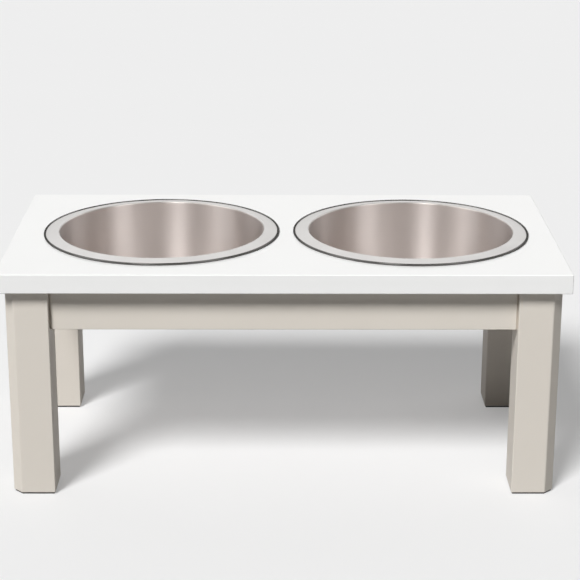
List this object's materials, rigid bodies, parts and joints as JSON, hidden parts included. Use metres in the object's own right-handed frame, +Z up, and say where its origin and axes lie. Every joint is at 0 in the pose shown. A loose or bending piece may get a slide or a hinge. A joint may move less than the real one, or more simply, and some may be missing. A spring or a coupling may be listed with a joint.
{
  "type": "elevated pet feeder",
  "caption": "Low four-legged stand whose painted board holds round steel bowls by their flanges, with set-back aprons and bolted corner blocks.",
  "frame": {"origin": "on the floor, under the middle of the board", "axes": "+X along the board to the right, +Y to the rear, +Z up; the front apron faces -Y"},
  "size_m": [0.52, 0.28, 0.2229],
  "materials": {
    "white_paint": "smooth satin white paint over board",
    "beige_paint": "smooth satin warm beige-grey paint over wood",
    "bare_wood": "bare planed softwood",
    "bowl_steel": "satin drawn stainless steel",
    "zinc_steel": "zinc plated",
    "pad_rubber": "matt dark rubber"
  },
  "bodies": {
    "stand": {"top_board": "white_paint", "leg_front_left": "beige_paint", "leg_front_right": "beige_paint", "leg_rear_left": "beige_paint", "leg_rear_right": "beige_paint", "apron_front": "beige_paint", "apron_rear": "beige_paint", "apron_left": "beige_paint", "apron_right": "beige_paint", "corner_block_front_left": "bare_wood", "corner_block_front_right": "bare_wood", "corner_block_rear_left": "bare_wood", "corner_block_rear_right": "bare_wood", "foot_pad_front_left": "pad_rubber", "foot_pad_front_right": "pad_rubber", "foot_pad_rear_left": "pad_rubber", "foot_pad_rear_right": "pad_rubber", "hanger_bolts": "zinc_steel", "bolt_nuts": "zinc_steel"},
    "left_bowl": {"bowl_left": "bowl_steel"},
    "right_bowl": {"bowl_right": "bowl_steel"}
  },
  "joints": [
    {"name": "left_bowl_lift", "type": "slide", "parent": "stand", "child": "left_bowl", "axis": [0, 0, 1], "range_m": [0, 0.08]},
    {"name": "right_bowl_lift", "type": "slide", "parent": "stand", "child": "right_bowl", "axis": [0, 0, 1], "range_m": [0, 0.08]}
  ]
}
